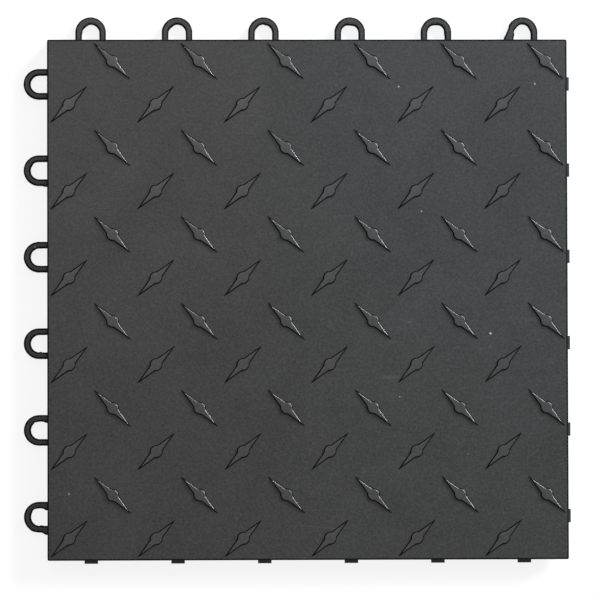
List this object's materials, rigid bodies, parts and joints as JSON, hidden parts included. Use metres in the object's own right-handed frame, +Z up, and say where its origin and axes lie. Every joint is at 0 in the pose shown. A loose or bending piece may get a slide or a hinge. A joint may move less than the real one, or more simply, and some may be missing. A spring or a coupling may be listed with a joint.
{
  "type": "interlocking floor tile",
  "caption": "Square black plastic floor tile with a raised diamond tread, open loops along two edges, and pegs with snap hooks under the other two edges.",
  "frame": {"origin": "centre of the square deck, on the floor plane, at the bottom of the middle foot", "axes": "+X right, away from the left loops; +Y back, towards the back loops; +Z up out of the tread"},
  "size_m": [0.3208, 0.3208, 0.0159],
  "materials": {
    "deck_plastic": "satin moulded polypropylene, fine grain",
    "tread_plastic": "satin moulded polypropylene, polished on the lug flanks",
    "wall_plastic": "satin moulded polypropylene",
    "loop_plastic": "satin moulded polypropylene, slight flash",
    "peg_plastic": "satin moulded polypropylene",
    "underside_plastic": "matte moulded polypropylene"
  },
  "bodies": {
    "root": {"deck_plate": "deck_plastic", "gussets_front": "underside_plastic", "gussets_right": "underside_plastic", "loop_back_1": "loop_plastic", "loop_back_2": "loop_plastic", "loop_back_3": "loop_plastic", "loop_back_4": "loop_plastic", "loop_back_5": "loop_plastic", "loop_back_6": "loop_plastic", "loop_left_1": "loop_plastic", "loop_left_2": "loop_plastic", "loop_left_3": "loop_plastic", "loop_left_4": "loop_plastic", "loop_left_5": "loop_plastic", "loop_left_6": "loop_plastic", "peg_front_1": "peg_plastic", "peg_front_2": "peg_plastic", "peg_front_3": "peg_plastic", "peg_front_4": "peg_plastic", "peg_front_5": "peg_plastic", "peg_front_6": "peg_plastic", "peg_right_1": "peg_plastic", "peg_right_2": "peg_plastic", "peg_right_3": "peg_plastic", "peg_right_4": "peg_plastic", "peg_right_5": "peg_plastic", "peg_right_6": "peg_plastic", "rib_grid": "underside_plastic", "support_feet": "underside_plastic", "tread_lugs_falling": "tread_plastic", "tread_lugs_rising": "tread_plastic", "wall_back": "wall_plastic", "wall_front": "wall_plastic", "wall_left": "wall_plastic", "wall_right": "wall_plastic"}
  },
  "joints": []
}
